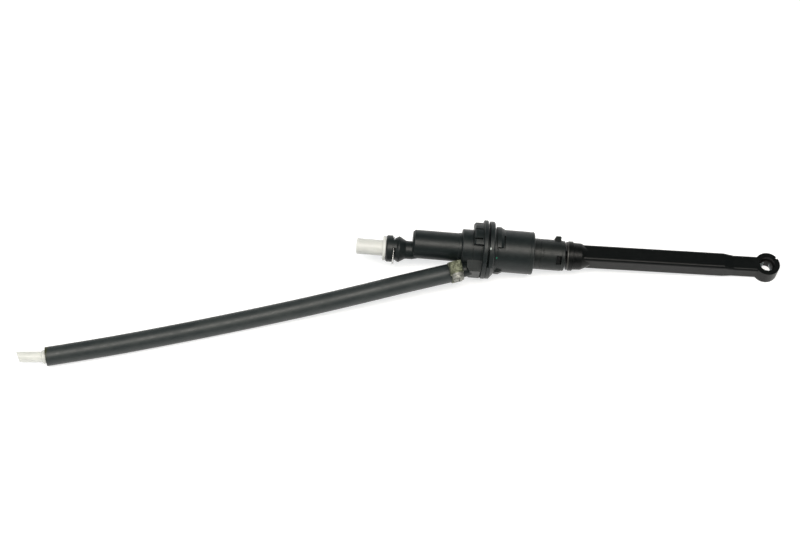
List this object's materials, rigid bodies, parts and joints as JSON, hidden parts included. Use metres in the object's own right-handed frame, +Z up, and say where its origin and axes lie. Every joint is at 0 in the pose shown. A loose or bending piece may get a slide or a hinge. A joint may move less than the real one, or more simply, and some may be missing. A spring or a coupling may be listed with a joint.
{
  "type": "hydraulic master cylinder",
  "caption": "Pedal-operated hydraulic master cylinder: bayonet flange, feed hose with worm clamp, capped quick-connect port and a long pushrod with a ball-socket eye.",
  "frame": {"origin": "centre of the bulkhead seat, where the cylinder axis meets the rear face of the flange", "axes": "+Z up from the bench it lies on; +X towards the pedal eye, along the cylinder axis but for the 4.2 degrees by which the axis drops towards the eye; +Y away from the hose side"},
  "size_m": [0.5975, 0.1359, 0.0466],
  "materials": {
    "housing_plastic": "satin black glass-filled plastic",
    "guide_plastic": "satin black plastic",
    "rod_plastic": "smooth black plastic with a soft gloss",
    "inner_plastic": "dark natural plastic",
    "seal_rubber": "matte black rubber",
    "hose_rubber": "matte slate grey rubber",
    "white_plastic": "soft translucent white plastic",
    "bright_steel": "bright spring steel",
    "zinc_steel": "zinc plate with a pale yellow tint",
    "piston_aluminium": "hard anodised aluminium"
  },
  "bodies": {
    "cylinder": {"front_housing": "housing_plastic", "rear_sleeve": "housing_plastic", "primary_seal": "seal_rubber", "feed_ring": "inner_plastic", "secondary_seal": "seal_rubber", "guide_bush": "inner_plastic", "spigot_seal": "seal_rubber", "port_o_ring": "seal_rubber", "spring_seat": "bright_steel", "return_spring": "bright_steel", "return_stop_ring": "seal_rubber", "feed_hose": "hose_rubber", "clamp_band": "zinc_steel", "clamp_housing": "zinc_steel"},
    "piston": {"piston": "piston_aluminium", "piston_guide": "guide_plastic", "ball_retainer": "inner_plastic"},
    "pushrod": {"pushrod": "rod_plastic", "dust_ring": "seal_rubber", "eye_socket_liner": "inner_plastic", "eye_retaining_clip": "bright_steel"},
    "wire_clip": {"wire_clip": "bright_steel"},
    "transport_cap": {"transport_cap": "white_plastic"},
    "hose_plug": {"hose_plug": "white_plastic"},
    "clamp_screw": {"clamp_screw": "zinc_steel"}
  },
  "joints": [
    {"name": "piston_stroke", "type": "slide", "parent": "cylinder", "child": "piston", "axis": [-0.9973, 0, 0.0735], "range_m": [0, 0.027], "stiffness_N_per_m": 700, "springref_m": -0.02, "deforming": ["return_spring"]},
    {"name": "pushrod_swivel", "type": "hinge", "parent": "piston", "child": "pushrod", "pos_m": [0.04986, 0, -0.00368], "axis": [0.0735, 0, 0.9973], "range_deg": [-5.3, 2.3]},
    {"name": "wire_clip_release", "type": "slide", "parent": "cylinder", "child": "wire_clip", "axis": [0.0368, 0.866, 0.4986], "range_m": [0, 0.004]},
    {"name": "transport_cap_pull", "type": "slide", "parent": "cylinder", "child": "transport_cap", "axis": [-0.9973, 0, 0.0735], "range_m": [0, 0.012]},
    {"name": "hose_plug_pull", "type": "slide", "parent": "cylinder", "child": "hose_plug", "axis": [-0.9735, -0.2288, 0], "range_m": [0, 0.014]},
    {"name": "clamp_screw_turn", "type": "hinge", "parent": "cylinder", "child": "clamp_screw", "pos_m": [-0.02316, -0.02284, 0.00861], "axis": [0.2924, -0.9267, -0.2361], "continuous": true}
  ]
}
